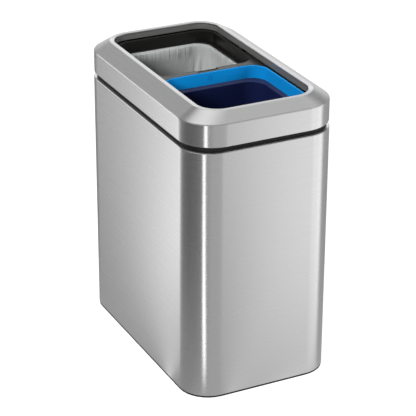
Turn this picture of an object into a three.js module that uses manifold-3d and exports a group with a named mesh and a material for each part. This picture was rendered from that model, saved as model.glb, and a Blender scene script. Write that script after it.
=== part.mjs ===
// A slim double recycling bin: a brushed steel sleeve with a lift-off steel rim, and two
// lift-out buckets side by side, each under a ring that hides and holds the edge of its bag.
// Millimetres. The origin is on the floor under the middle of the bin; X runs along the long
// sides, with the recycling bucket towards +X, Y runs across, and Z is up.
import * as THREE from 'three';
import { mergeVertices } from 'three/addons/utils/BufferGeometryUtils.js';
import Module from 'manifold-3d';

const wasm = await Module();
wasm.setup();

// Driving dimensions. A plan is a rounded rectangle: half length, half width, corner radius.
const SLEEVE = { halfX: 184.5, halfY: 113.25, corner: 45 };
const RIM = { halfX: 186.3, halfY: 113.9, corner: 51 };
const MOUTH = { halfX: 163.5, halfY: 84, corner: 31 };
const RING = { halfX: 78.3, halfY: 81.9, corner: 26 };
const BUCKET_MOUTH = { halfX: 70.1, halfY: 73.7, corner: 24.5 };
const BUCKET_BASE = { halfX: 65, halfY: 68.5, corner: 16 };
const BUCKET_CENTRE = 83.2; // from the middle of the bin to the middle of each bucket

// Heights above the floor.
const TRAY_BOTTOM = 1;
const SLEEVE_BOTTOM = 3;
const FLOOR_TOP = 7.5; // the buckets stand on it
const SLEEVE_TOP = 378;
const RIM_BOTTOM = 386.3;
const BUCKET_LEDGE = 399.1; // where the bucket's wall meets its sloping rim
const RING_FOOT = 402;
const RING_TOP = 421;
const LINING_BOTTOM = 422;
const RIM_CREASE = 419.2; // where the band and the slope of the rim would meet
const RIM_TOP = 432.5;

// Thicknesses and clearances.
const SHEET = 1; // steel
const WALL = 2; // moulded plastic
const FILM = 0.5; // bin bag, drawn thick enough to be a solid
const GAP = 0.3;
const HEM_RADIUS = 1; // fold at the sleeve's and the rim's edges
const TOP_HEM = 9; // sleeve's upper flange, measured in from its outer face
const BOTTOM_HEM = 10; // sleeve's lower flange

// Black collar between the sleeve and the rim.
const GROOVE_DEPTH = 4.5; // the collar's outer face lies this far inside the sleeve's
const GROOVE_WALL = 2.2;
const DECK = 2.5; // the collar's thickness where it spans inwards
const COLLAR_SKIRT = 20; // its plug inside the sleeve
const COLLAR_OPENING = { halfX: 163.2, halfY: 83.6, corner: 28 };
const OPENING_LIP = 10;
const CROSSBAR = 4.4;
const HOOK = { length: 12, height: 2.5, reach: 1.8 };

// Steel rim and the moulding under it.
const RIM_FLANGE = 15.6; // the rim's lower flange, measured in from its outer face
const LOCATOR = 9; // height of the collar's upstand inside that flange
const CREASE_RADIUS = 8;
const CREASE_TURN = (59 * Math.PI) / 180; // from the upright band to the slope
const LIP = 7.5; // flat bead round the mouth
const LIP_DROP = 1.6; // its turned-down inner edge
const CREVICE = 0.6; // between the steel and the moulding
const RIM_SCREW_INSET = 12;
const BOSS_TOP = 422.3; // of the screw bosses under the rim

// Rings over the bags, and the bar between the two openings.
const RING_WALL = 2.6;
const RING_SKIRT = { thickness: 1.2, drop: 12 };
const RING_EDGE = 2.2; // rounding of the top edge
const SHELF = { halfX: 74.5, halfY: 73.2, corner: 23 }; // the rubbish ring's lower opening
const SHELF_THICKNESS = 1.2;
const BAR = { edge: 4.4, thickness: 4, reach: 22 };
const NOTCH = { halfY: 16.5, edge: 1.5, intoWall: 0.2, dip: 1.5 }; // finger notch in the bar
const BUCKET_RIM = 2.2; // the bucket's rim lies this far inside the ring's outer face
const RIM_TURNDOWN = 10;
const BUCKET_BEND = 3; // outer radius where a bucket's walls meet its bottom
const BAG_BEND = { across: 5, up: 4 }; // slack corner of the bag at the bucket's bottom

// Base.
const TRAY_INSET = 0.3; // the tray's edge lies this far inside the sleeve's outer face
const FLOOR_STEP = 2; // the tray's deck rises by this inside the sleeve's flange
const CURB = { width: 3, height: 4, play: 1.5 };
const FOOT = { radius: 11, x: 148, y: 80 };
const SCREW = { shank: 1.5, head: 2.8, headHeight: 1.8 };
const BASE_SCREW_LENGTH = 7;
const RIM_SCREW_LENGTH = 12;
const SCREW_HOLE = 1.75;
const BOSS_RADIUS = 3.4;
const BASE_SCREWS = [[161, 45], [161, -45], [-161, 45], [-161, -45], [0, 95], [0, -95]];

const CORNER_STEPS = 8; // flat steps round each corner of a plan
const ROUND_STEPS = 12; // sides of a screw, boss or hole

const steel = { color: 0xc4c6c8, roughness: 0.32, metalness: 1 };
const blackPlastic = { color: 0x1b1b1c, roughness: 0.55, metalness: 0 };
const greyPlastic = { color: 0x4b4b4d, roughness: 0.4, metalness: 0 };
const bluePlastic = { color: 0x0f7fc4, roughness: 0.42, metalness: 0 };
const navyPlastic = { color: 0x27355b, roughness: 0.5, metalness: 0 };
const rubber = { color: 0x161616, roughness: 0.85, metalness: 0 };
const zincSteel = { color: 0x9c9ea0, roughness: 0.4, metalness: 1 };
const greyFilm = { color: 0xb9bcbb, roughness: 0.35, metalness: 0 };

// A plan moved in by a distance, at a height.
function at(plan, inset, z, centreX = 0) {
  return {
    halfX: plan.halfX - inset,
    halfY: plan.halfY - inset,
    corner: plan.corner - inset,
    centreX,
    z,
  };
}

// The points of a plan, anticlockwise from above.
function outline({ halfX, halfY, corner, centreX }) {
  const x = halfX - corner;
  const y = halfY - corner;
  const quarter = Math.PI / 2;
  const path = new THREE.Path();
  path.absarc(centreX + x, y, corner, 0, quarter);
  path.absarc(centreX - x, y, corner, quarter, 2 * quarter);
  path.absarc(centreX - x, -y, corner, 2 * quarter, 3 * quarter);
  path.absarc(centreX + x, -y, corner, 3 * quarter, 4 * quarter);
  return path.getPoints(CORNER_STEPS / 2);
}

function solid(geometry) {
  geometry.deleteAttribute('normal');
  geometry.deleteAttribute('uv');
  const merged = mergeVertices(geometry, 1e-5);
  return new wasm.Manifold(new wasm.Mesh({
    numProp: 3,
    vertProperties: new Float32Array(merged.attributes.position.array),
    triVerts: new Uint32Array(merged.index.array),
  }));
}

// A skin through a list of plans that runs up the outside and down the inside of a piece.
// A looped skin joins its last plan to its first; any other is closed by a flat at each end.
function loft(plans, looped = false) {
  const rings = plans.map((plan) => outline(plan).map((point) => [point.x, point.y, plan.z]));
  const count = rings[0].length;
  const index = [];
  for (let i = 0; i < rings.length - (looped ? 0 : 1); i++) {
    const low = i * count;
    const high = ((i + 1) % rings.length) * count;
    for (let j = 0; j < count; j++) {
      const next = (j + 1) % count;
      index.push(low + j, low + next, high + next, low + j, high + next, high + j);
    }
  }
  if (!looped) {
    const end = (rings.length - 1) * count;
    for (let j = 1; j < count - 1; j++) {
      index.push(0, j + 1, j, end, end + j, end + j + 1);
    }
  }
  const geometry = new THREE.BufferGeometry();
  geometry.setAttribute('position', new THREE.Float32BufferAttribute(rings.flat(2), 3));
  geometry.setIndex(index);
  return solid(geometry);
}

function block(lowX, highX, lowY, highY, lowZ, highZ) {
  const geometry = new THREE.BoxGeometry(highX - lowX, highY - lowY, highZ - lowZ);
  geometry.translate((lowX + highX) / 2, (lowY + highY) / 2, (lowZ + highZ) / 2);
  return solid(geometry);
}

function rod(radius, x, y, lowZ, highZ) {
  const geometry = new THREE.CylinderGeometry(radius, radius, highZ - lowZ, ROUND_STEPS);
  geometry.rotateX(Math.PI / 2);
  geometry.translate(x, y, (lowZ + highZ) / 2);
  return solid(geometry);
}

// A solid turned about an upright axis from a profile of [radius, height] points.
function turned(profile, x, y, sides) {
  const points = profile.map(([radius, height]) => new THREE.Vector2(radius, height));
  const geometry = new THREE.LatheGeometry(points, sides);
  geometry.rotateX(Math.PI / 2);
  geometry.translate(x, y, 0);
  return solid(geometry);
}

const group = new THREE.Group();

function add(name, body, look) {
  const { vertProperties, triVerts } = body.getMesh();
  const geometry = new THREE.BufferGeometry();
  geometry.setAttribute('position', new THREE.Float32BufferAttribute(vertProperties, 3));
  geometry.setIndex(Array.from(triVerts));
  geometry.computeVertexNormals();
  const mesh = new THREE.Mesh(geometry, new THREE.MeshStandardMaterial(look));
  mesh.name = name;
  group.add(mesh);
}

// Sleeve of steel sheet with both edges folded inwards.
function outerSleeve() {
  return loft([
    at(SLEEVE, HEM_RADIUS, SLEEVE_BOTTOM),
    at(SLEEVE, 0, SLEEVE_BOTTOM + HEM_RADIUS),
    at(SLEEVE, 0, SLEEVE_TOP - HEM_RADIUS),
    at(SLEEVE, HEM_RADIUS, SLEEVE_TOP),
    at(SLEEVE, TOP_HEM, SLEEVE_TOP),
    at(SLEEVE, TOP_HEM, SLEEVE_TOP - SHEET),
    at(SLEEVE, SHEET, SLEEVE_TOP - SHEET),
    at(SLEEVE, SHEET, SLEEVE_BOTTOM + SHEET),
    at(SLEEVE, BOTTOM_HEM, SLEEVE_BOTTOM + SHEET),
    at(SLEEVE, BOTTOM_HEM, SLEEVE_BOTTOM),
  ], true);
}

// Black collar: the groove under the rim, a plug that hooks under the sleeve's flange, an
// upstand that the rim drops over, and a deck whose opening steadies both buckets.
function topCollar() {
  const deckTop = SLEEVE_TOP + DECK;
  const plug = TOP_HEM + GAP;
  const upstand = RIM_FLANGE + GAP;
  const grooveTop = RIM_BOTTOM - GAP;
  const lipBottom = deckTop - OPENING_LIP;
  let body = loft([
    at(SLEEVE, GROOVE_DEPTH, SLEEVE_TOP),
    at(SLEEVE, GROOVE_DEPTH, grooveTop),
    at(SLEEVE, GROOVE_DEPTH + GROOVE_WALL, grooveTop),
    at(SLEEVE, GROOVE_DEPTH + GROOVE_WALL, deckTop),
    at(RIM, upstand, deckTop),
    at(RIM, upstand, deckTop + LOCATOR),
    at(RIM, upstand + WALL, deckTop + LOCATOR),
    at(RIM, upstand + WALL, deckTop),
    at(COLLAR_OPENING, 0, deckTop),
    at(COLLAR_OPENING, 0, lipBottom),
    at(COLLAR_OPENING, -WALL, lipBottom),
    at(COLLAR_OPENING, -WALL, SLEEVE_TOP),
    at(SLEEVE, plug + WALL, SLEEVE_TOP),
    at(SLEEVE, plug + WALL, SLEEVE_TOP - COLLAR_SKIRT),
    at(SLEEVE, plug, SLEEVE_TOP - COLLAR_SKIRT),
    at(SLEEVE, plug, SLEEVE_TOP),
  ], true);
  const end = COLLAR_OPENING.halfY + WALL / 2;
  body = body.add(block(-CROSSBAR / 2, CROSSBAR / 2, -end, end, lipBottom, deckTop));
  const hookTop = SLEEVE_TOP - SHEET - GAP;
  const hookBottom = hookTop - HOOK.height;
  const outX = SLEEVE.halfX - plug + HOOK.reach;
  const outY = SLEEVE.halfY - plug + HOOK.reach;
  const depth = HOOK.reach + WALL / 2;
  for (const side of [-1, 1]) {
    const [lowX, highX] = side > 0 ? [outX - depth, outX] : [-outX, depth - outX];
    body = body.add(block(lowX, highX, -HOOK.length / 2, HOOK.length / 2, hookBottom, hookTop));
    const [lowY, highY] = side > 0 ? [outY - depth, outY] : [-outY, depth - outY];
    for (const middle of [-SLEEVE.halfX / 2, SLEEVE.halfX / 2]) {
      const low = middle - HOOK.length / 2;
      body = body.add(block(low, low + HOOK.length, lowY, highY, hookBottom, hookTop));
    }
  }
  return body;
}

// Black tray under the bin: a border below the sleeve's flange, and a raised deck inside it.
function baseTray() {
  const deck = SLEEVE_BOTTOM + FLOOR_STEP;
  const inside = BOTTOM_HEM + GAP;
  let body = loft([
    at(SLEEVE, inside + WALL, SLEEVE_BOTTOM),
    at(SLEEVE, inside + WALL, TRAY_BOTTOM),
    at(SLEEVE, TRAY_INSET, TRAY_BOTTOM),
    at(SLEEVE, TRAY_INSET, SLEEVE_BOTTOM),
    at(SLEEVE, inside, SLEEVE_BOTTOM),
    at(SLEEVE, inside, deck),
  ]);
  for (const [x, y] of BASE_SCREWS) {
    body = body.subtract(rod(SCREW_HOLE, x, y, 0, deck + 1));
  }
  return body;
}

// Moulded floor above the sleeve's flange, with a curb round each bucket and screw bosses.
function floorPlate() {
  const flangeTop = SLEEVE_BOTTOM + SHEET;
  const underside = SLEEVE_BOTTOM + FLOOR_STEP;
  let body = loft([
    at(SLEEVE, BOTTOM_HEM, underside),
    at(SLEEVE, BOTTOM_HEM, flangeTop),
    at(SLEEVE, SHEET + GAP, flangeTop),
    at(SLEEVE, SHEET + GAP, FLOOR_TOP + CURB.height),
    at(SLEEVE, SHEET + GAP + WALL, FLOOR_TOP + CURB.height),
    at(SLEEVE, SHEET + GAP + WALL, FLOOR_TOP),
  ]);
  const curbTop = FLOOR_TOP + CURB.height;
  for (const centre of [-BUCKET_CENTRE, BUCKET_CENTRE]) {
    body = body.add(loft([
      at(BUCKET_BASE, -CURB.play - CURB.width, underside + GAP, centre),
      at(BUCKET_BASE, -CURB.play - CURB.width, curbTop, centre),
      at(BUCKET_BASE, -CURB.play, curbTop, centre),
      at(BUCKET_BASE, -CURB.play, underside + GAP, centre),
    ], true));
  }
  for (const [x, y] of BASE_SCREWS) {
    body = body.add(rod(BOSS_RADIUS, x, y, underside + GAP, curbTop));
    body = body.subtract(rod(SCREW_HOLE, x, y, 0, curbTop - SHEET));
  }
  return body;
}

// Round rubber pad, stuck up inside the tray's border.
function foot(x, y) {
  const { radius } = FOOT;
  const bevel = SHEET / 2;
  return turned([
    [0, 0],
    [radius - bevel, 0],
    [radius, bevel],
    [radius, SLEEVE_BOTTOM],
    [0, SLEEVE_BOTTOM],
  ], x, y, 2 * ROUND_STEPS);
}

// Pan-head screw, driven upwards, with a cross recess in its head.
function screw(x, y, headTop, length) {
  const { shank, head, headHeight } = SCREW;
  const bottom = headTop - headHeight;
  const body = turned([
    [0, bottom],
    [head * 0.75, bottom],
    [head, bottom + headHeight / 2],
    [head, headTop],
    [shank, headTop],
    [shank, headTop + length - 2 * shank],
    [0, headTop + length],
  ], x, y, ROUND_STEPS);
  const arm = head * 0.55;
  const blade = head * 0.13;
  const floor = bottom + headHeight / 2;
  const recess = block(x - arm, x + arm, y - blade, y + blade, bottom - 1, floor)
    .add(block(x - blade, x + blade, y - arm, y + arm, bottom - 1, floor));
  return body.subtract(recess);
}

// The rounded crease between the rim's band and its slope, at a depth under the steel.
function crease(depth) {
  const radius = CREASE_RADIUS - depth;
  const start = RIM_CREASE - CREASE_RADIUS * Math.tan(CREASE_TURN / 2);
  return [0, 0.5, 1].map((part) => {
    const angle = part * CREASE_TURN;
    return at(RIM, CREASE_RADIUS - radius * Math.cos(angle), start + radius * Math.sin(angle));
  });
}

const RIM_SCREWS = [
  [RIM.halfX - RIM_SCREW_INSET, 0],
  [RIM_SCREW_INSET - RIM.halfX, 0],
  [RIM.halfX / 2, RIM.halfY - RIM_SCREW_INSET],
  [RIM.halfX / 2, RIM_SCREW_INSET - RIM.halfY],
  [-RIM.halfX / 2, RIM.halfY - RIM_SCREW_INSET],
  [-RIM.halfX / 2, RIM_SCREW_INSET - RIM.halfY],
];

// Steel rim: upright band, slope, and a flat bead round the mouth, with a flange below.
function rimShell() {
  const lipBottom = RIM_TOP - LIP_DROP;
  let body = loft([
    at(RIM, HEM_RADIUS, RIM_BOTTOM),
    at(RIM, 0, RIM_BOTTOM + HEM_RADIUS),
    ...crease(0),
    at(MOUTH, -LIP, RIM_TOP - SHEET / 2),
    at(MOUTH, SHEET - LIP, RIM_TOP),
    at(MOUTH, -SHEET, RIM_TOP),
    at(MOUTH, 0, RIM_TOP - SHEET),
    at(MOUTH, 0, lipBottom),
    at(MOUTH, -SHEET, lipBottom),
    at(MOUTH, -SHEET, RIM_TOP - SHEET),
    at(MOUTH, SHEET - LIP, RIM_TOP - SHEET),
    ...crease(SHEET).reverse(),
    at(RIM, SHEET, RIM_BOTTOM + SHEET),
    at(RIM, RIM_FLANGE, RIM_BOTTOM + SHEET),
    at(RIM, RIM_FLANGE, RIM_BOTTOM),
  ], true);
  for (const [x, y] of RIM_SCREWS) {
    body = body.subtract(rod(SCREW_HOLE, x, y, RIM_BOTTOM - 1, RIM_BOTTOM + SHEET + 1));
  }
  return body;
}

// Grey moulding inside the rim: the wall seen below the mouth, a cap that backs the slope,
// an outer wall that stands on the flange, and six screw bosses with their ribs.
function rimLining() {
  const bottom = RIM_BOTTOM + SHEET + GAP;
  const depth = SHEET + CREVICE;
  const top = RIM_TOP - LIP_DROP - CREVICE;
  let body = loft([
    at(RIM, depth, bottom),
    ...crease(depth),
    at(MOUTH, WALL - LIP, top),
    at(MOUTH, 0, top),
    at(MOUTH, 0, LINING_BOTTOM + CREVICE),
    at(MOUTH, -CREVICE, LINING_BOTTOM),
    at(MOUTH, -WALL, LINING_BOTTOM),
    at(MOUTH, -WALL, top - WALL),
    at(MOUTH, 1.5 * WALL - LIP, top - WALL),
    ...crease(depth + WALL).reverse(),
    at(RIM, depth + WALL, bottom),
  ], true);
  const ribTop = RIM_CREASE - CREASE_RADIUS;
  for (const [x, y] of RIM_SCREWS) {
    const outX = y === 0 ? Math.sign(x) * (RIM.halfX - depth - WALL / 2) : x;
    const outY = y === 0 ? 0 : Math.sign(y) * (RIM.halfY - depth - WALL / 2);
    const half = WALL / 2;
    const rib = block(
      Math.min(x, outX) - (y === 0 ? 0 : half), Math.max(x, outX) + (y === 0 ? 0 : half),
      Math.min(y, outY) - (y === 0 ? half : 0), Math.max(y, outY) + (y === 0 ? half : 0),
      bottom, ribTop,
    );
    body = body.add(rib).add(rod(BOSS_RADIUS, x, y, bottom, BOSS_TOP));
  }
  for (const [x, y] of RIM_SCREWS) {
    body = body.subtract(rod(SCREW_HOLE, x, y, bottom - 1, bottom + RIM_SCREW_INSET));
  }
  return body;
}

// Ring on a bucket: the wall seen inside the mouth, with a rounded top edge, and a thin
// skirt that drops outside the bucket's rim. The foot is what the wall ends in.
function ring(centre, foot) {
  const { thickness, drop } = RING_SKIRT;
  return loft([
    at(RING, 0, RING_FOOT - drop, centre),
    at(RING, 0, RING_TOP - RING_EDGE / 2, centre),
    at(RING, RING_EDGE / 4, RING_TOP - RING_EDGE / 8, centre),
    at(RING, RING_EDGE / 2, RING_TOP, centre),
    at(RING, RING_WALL * 0.75, RING_TOP - RING_EDGE / 3, centre),
    at(RING, RING_WALL * 0.9, RING_TOP - RING_EDGE, centre),
    ...foot,
    at(RING, thickness, RING_FOOT, centre),
    at(RING, thickness, RING_FOOT - drop, centre),
  ], true);
}

function recyclingRing() {
  return ring(BUCKET_CENTRE, [at(RING, RING_WALL, RING_FOOT, BUCKET_CENTRE)]);
}

// The rubbish ring has a shelf at its foot that covers the bag's edge. It also carries the
// bar between the two openings, cut to the shape of the recycling ring beside it. A notch
// between the bar and the ring's wall lets a finger under the bar.
function rubbishRing() {
  const low = RING_TOP - BAR.thickness;
  const above = RING_TOP + 1;
  const back = -BUCKET_CENTRE;
  let bar = block(-BAR.reach, BAR.reach, -RING.halfY, RING.halfY, low, RING_TOP);
  const clear = BUCKET_CENTRE - RING.halfX - BAR.edge;
  bar = bar.subtract(loft([at(RING, -clear, 0, -back), at(RING, -clear, above, -back)]));
  bar = bar.subtract(loft([
    at(RING, RING_WALL, RING_FOOT, back),
    at(RING, RING_WALL * 0.9, RING_TOP - RING_EDGE, back),
    at(RING, RING_WALL * 0.75, RING_TOP - RING_EDGE / 3, back),
    at(RING, RING_EDGE / 2, RING_TOP, back),
    at(RING, RING_EDGE / 4, above, back),
  ]));
  const wall = RING.halfX - BUCKET_CENTRE - NOTCH.intoWall;
  const pocket = block(wall, NOTCH.edge, -NOTCH.halfY, NOTCH.halfY, low - 1, above);
  const dip = block(
    -BAR.reach, NOTCH.edge, -NOTCH.halfY, NOTCH.halfY, RING_TOP - NOTCH.dip, above,
  );
  const shelfTop = RING_FOOT + SHELF_THICKNESS;
  const foot = [
    at(RING, RING_WALL, shelfTop, back),
    at(SHELF, 0, shelfTop, back),
    at(SHELF, 0, RING_FOOT, back),
  ];
  return ring(back, foot).add(bar).subtract(pocket).subtract(dip);
}

// Bucket with drafted walls, a sloping ledge inside the ring and a turned-down rim.
function bucket(centre, rimTop) {
  const base = FLOOR_TOP;
  const ledge = BUCKET_LEDGE;
  const bend = BUCKET_BEND;
  const underRim = ledge - bend;
  return loft([
    at(BUCKET_BASE, bend, base, centre),
    at(BUCKET_BASE, 0, base + bend, centre),
    at(BUCKET_MOUTH, -WALL, underRim, centre),
    at(RING, BUCKET_RIM + WALL, underRim + WALL / 2, centre),
    at(RING, BUCKET_RIM + WALL, rimTop - RIM_TURNDOWN, centre),
    at(RING, BUCKET_RIM, rimTop - RIM_TURNDOWN, centre),
    at(RING, BUCKET_RIM, rimTop, centre),
    at(RING, RING_WALL + GAP, rimTop, centre),
    at(BUCKET_MOUTH, -HEM_RADIUS / 2, ledge, centre),
    at(BUCKET_MOUTH, 0, ledge - HEM_RADIUS, centre),
    at(BUCKET_BASE, WALL, base + bend, centre),
    at(BUCKET_BASE, WALL + bend, base + WALL, centre),
  ]);
}

// Bin bag: it lines the rubbish bucket, and its cuff folds over the bucket's rim, where the
// ring holds it.
function binBag(rimTop) {
  const centre = -BUCKET_CENTRE;
  const base = FLOOR_TOP + WALL;
  const cuffBottom = rimTop - RIM_TURNDOWN;
  const cuffOut = RING_SKIRT.thickness + GAP;
  const top = rimTop + GAP + FILM;
  return loft([
    at(BUCKET_BASE, WALL + BAG_BEND.across, base + GAP, centre),
    at(BUCKET_BASE, 2 * WALL, base + BAG_BEND.up, centre),
    at(BUCKET_MOUTH, 2 * GAP, BUCKET_LEDGE, centre),
    at(RING, RING_WALL + 3 * GAP, rimTop + GAP, centre),
    at(RING, cuffOut + FILM, rimTop + GAP, centre),
    at(RING, cuffOut + FILM, cuffBottom, centre),
    at(RING, cuffOut, cuffBottom, centre),
    at(RING, cuffOut, top - GAP, centre),
    at(RING, cuffOut + GAP, top, centre),
    at(RING, RING_WALL + 3 * GAP, top, centre),
    at(BUCKET_MOUTH, 2 * GAP + FILM, BUCKET_LEDGE + GAP, centre),
    at(BUCKET_BASE, 2 * WALL + FILM, base + BAG_BEND.up, centre),
    at(BUCKET_BASE, WALL + BAG_BEND.across, base + GAP + FILM, centre),
  ]);
}

add('outer_sleeve', outerSleeve(), steel);
add('top_collar', topCollar(), blackPlastic);
add('base_tray', baseTray(), blackPlastic);
add('floor_plate', floorPlate(), blackPlastic);
BASE_SCREWS.forEach(([x, y], i) => {
  add(`base_screw_${i + 1}`, screw(x, y, SLEEVE_BOTTOM, BASE_SCREW_LENGTH), zincSteel);
});
[[1, 1], [1, -1], [-1, 1], [-1, -1]].forEach(([sideX, sideY], i) => {
  add(`foot_${i + 1}`, foot(sideX * FOOT.x, sideY * FOOT.y), rubber);
});

add('rim_shell', rimShell(), steel);
add('rim_lining', rimLining(), greyPlastic);
RIM_SCREWS.forEach(([x, y], i) => {
  add(`rim_screw_${i + 1}`, screw(x, y, RIM_BOTTOM, RIM_SCREW_LENGTH), zincSteel);
});

const BAGGED_RIM = RING_FOOT - 2 * GAP - FILM; // leaves room for the bag under the ring
add('recycling_bucket', bucket(BUCKET_CENTRE, RING_FOOT), navyPlastic);
add('recycling_ring', recyclingRing(), bluePlastic);
add('rubbish_bucket', bucket(-BUCKET_CENTRE, BAGGED_RIM), blackPlastic);
add('rubbish_ring', rubbishRing(), blackPlastic);
add('bin_bag', binBag(BAGGED_RIM), greyFilm);

export default group;
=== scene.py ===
import math
import random

import bmesh
import bpy
from mathutils import Matrix, Vector, noise


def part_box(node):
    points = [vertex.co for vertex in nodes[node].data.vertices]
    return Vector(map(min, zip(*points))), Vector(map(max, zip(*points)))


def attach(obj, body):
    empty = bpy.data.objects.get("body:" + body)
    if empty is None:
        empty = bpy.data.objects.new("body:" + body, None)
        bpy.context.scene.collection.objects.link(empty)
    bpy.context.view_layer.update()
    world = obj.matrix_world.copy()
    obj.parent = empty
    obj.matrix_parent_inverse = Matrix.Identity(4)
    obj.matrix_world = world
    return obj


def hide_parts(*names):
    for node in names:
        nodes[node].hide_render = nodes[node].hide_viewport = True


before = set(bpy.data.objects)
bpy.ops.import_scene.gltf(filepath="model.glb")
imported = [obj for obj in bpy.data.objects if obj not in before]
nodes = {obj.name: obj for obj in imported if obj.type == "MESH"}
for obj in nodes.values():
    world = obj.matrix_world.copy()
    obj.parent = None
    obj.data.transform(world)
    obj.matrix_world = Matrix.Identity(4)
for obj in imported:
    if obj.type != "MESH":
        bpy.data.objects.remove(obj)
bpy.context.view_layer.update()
MM = 0.001


# Camera ---------------------------------------------------------------------------------
# A long lens well above the rim, looking down at the corner between the long side and the
# short side, as a studio shows a bin.
CAMERA_PLACE = Vector((2.149356, -1.075597, 1.333299))
CAMERA_AIM = Vector((0, 0.000956, 0.204670))
CAMERA_ROLL = math.radians(0.269)
CAMERA_LENS = 155.96  # millimetres, on a sensor 36 mm wide

camera = bpy.data.objects.new("camera", bpy.data.cameras.new("camera"))
bpy.context.scene.collection.objects.link(camera)
camera.data.lens = CAMERA_LENS
aim = (CAMERA_AIM - CAMERA_PLACE).to_track_quat("-Z", "Y").to_matrix()
turned = aim @ Matrix.Rotation(CAMERA_ROLL, 3, "Z")
camera.matrix_world = Matrix.Translation(CAMERA_PLACE) @ turned.to_4x4()
bpy.context.scene.camera = camera


# Base tray and floor plate --------------------------------------------------------------
# Two black polypropylene mouldings that clamp the sleeve's lower flange between them. Only
# the tray's edge shows, as a thin black line under the steel.
PP_BLACK = "#0b0b0b"
PP_GRAIN = 0.5 * MM  # etched mould texture


def linear(colour):
    """An sRGB hex colour as linear red, green, blue and alpha."""
    parts = [int(colour[i : i + 2], 16) / 255 for i in (1, 3, 5)]
    return (*(c / 12.92 if c <= 0.04045 else ((c + 0.055) / 1.055) ** 2.4 for c in parts), 1)


def add_node(tree, kind, inputs, **settings):
    """Adds a shader node, sets it up, and fills or links its inputs."""
    made = tree.nodes.new("ShaderNode" + kind)
    for name, value in settings.items():
        setattr(made, name, value)
    for key, value in inputs.items():
        if isinstance(value, bpy.types.NodeSocket):
            tree.links.new(value, made.inputs[key])
        else:
            made.inputs[key].default_value = value
    return made


def new_material(name, surface):
    """A material with one Principled shader whose even values are set on its own sockets."""
    material = bpy.data.materials.new(name)
    material.use_nodes = True
    shader = material.node_tree.nodes["Principled BSDF"]
    for socket, value in surface.items():
        shader.inputs[socket].default_value = value
    return material, material.node_tree, shader


def moulded_plastic(name, colour, roughness, grain, depth, unevenness=0.12, sheen=0.5):
    """Moulded plastic: an etched grain in relief, and a colour and gloss that drift a little
    where the melt flowed. The grain is drawn about twice as coarse as it is, to show."""
    surface = {"Metallic": 0, "IOR": 1.5, "Specular IOR Level": sheen}
    material, tree, shader = new_material(name, surface)
    place = add_node(tree, "TexCoord", {}).outputs["Object"]
    drift = add_node(tree, "TexNoise", {"Vector": place, "Scale": 1 / (45 * MM), "Detail": 3})
    etched = add_node(tree, "TexNoise", {"Vector": place, "Scale": 1 / (2 * grain), "Detail": 2})
    base = linear(colour)
    low = tuple(c * (1 - unevenness) for c in base[:3]) + (1,)
    high = tuple(c * (1 + unevenness) for c in base[:3]) + (1,)
    tint = add_node(
        tree, "Mix", {0: drift.outputs[0], 6: low, 7: high}, data_type="RGBA"
    )
    tree.links.new(tint.outputs[2], shader.inputs["Base Color"])
    gloss = add_node(
        tree, "MapRange",
        {0: etched.outputs[0], 1: 0.3, 2: 0.7, 3: roughness - 0.04, 4: roughness + 0.04},
    )
    tree.links.new(gloss.outputs[0], shader.inputs["Roughness"])
    relief = add_node(
        tree, "Bump", {"Strength": 0.5, "Distance": depth, "Height": etched.outputs[0]}
    )
    tree.links.new(relief.outputs[0], shader.inputs["Normal"])
    return material


def finish_node(name, material):
    """Gives a node that keeps its own mesh a finished material."""
    mesh = nodes[name].data
    mesh.materials.clear()
    mesh.materials.append(material)


# Black polypropylene, moulded with an etched grain: nearly matt, with a soft grey sheen.
black_polypropylene = moulded_plastic(
    "moulded_black_polypropylene", PP_BLACK, 0.5, PP_GRAIN, 0.05 * MM, sheen=0.2
)
for name in ("base_tray", "floor_plate"):
    finish_node(name, black_polypropylene)


# Feet and screws ------------------------------------------------------------------------
# Four round pads of moulded rubber stuck under the tray, and twelve zinc-plated pan-head
# screws driven up into the mouldings' bosses.
RUBBER = "#1a1a1a"
ZINC = "#b9bcc0"
ZINC_SPANGLE = 0.8 * MM

# Rubber: dull, with a dusty grain and no clear highlight.
rubber = moulded_plastic("moulded_rubber", RUBBER, 0.82, 0.4 * MM, 0.06 * MM, 0.2)

# Bright zinc plating: a grey metal that varies a little in gloss from grain to grain.
zinc, tree, shader = new_material("zinc_plated_steel", {"Metallic": 1, "Base Color": linear(ZINC)})
place = add_node(tree, "TexCoord", {}).outputs["Object"]
spangle = add_node(tree, "TexVoronoi", {"Vector": place, "Scale": 1 / ZINC_SPANGLE})
gloss = add_node(
    tree, "MapRange", {0: spangle.outputs["Distance"], 1: 0.0, 2: 1.0, 3: 0.28, 4: 0.45}
)
tree.links.new(gloss.outputs[0], shader.inputs["Roughness"])

for name in sorted(nodes):
    if name.startswith("foot_"):
        finish_node(name, rubber)
    elif "_screw_" in name:
        finish_node(name, zinc)


# Outer sleeve ---------------------------------------------------------------------------
# Stainless sheet rolled round, with both edges folded inwards as flat hems. It is brushed
# along its length, so a reflection is drawn out into upright bands.
SLEEVE_CORNER = 45 * MM
SHEET = 1 * MM
HEM_BEND = 1.4 * MM
TOP_HEM = 9 * MM
BOTTOM_HEM = 10 * MM
CORNER_STEPS = 24
BEND_STEPS = 4
SHARP_EDGE = math.radians(32)

STEEL = "#cdcdce"
BRUSH_LINE = 0.7 * MM  # finer in the real steel, and drawn coarser to show
BRUSH_LENGTH = 150 * MM


def plan_of(node, corner):
    """A node's plan: its middle along X, its half length and half width, and its corner."""
    low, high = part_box(node)
    return (low.x + high.x) / 2, (high.x - low.x) / 2, (high.y - low.y) / 2, corner


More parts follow.
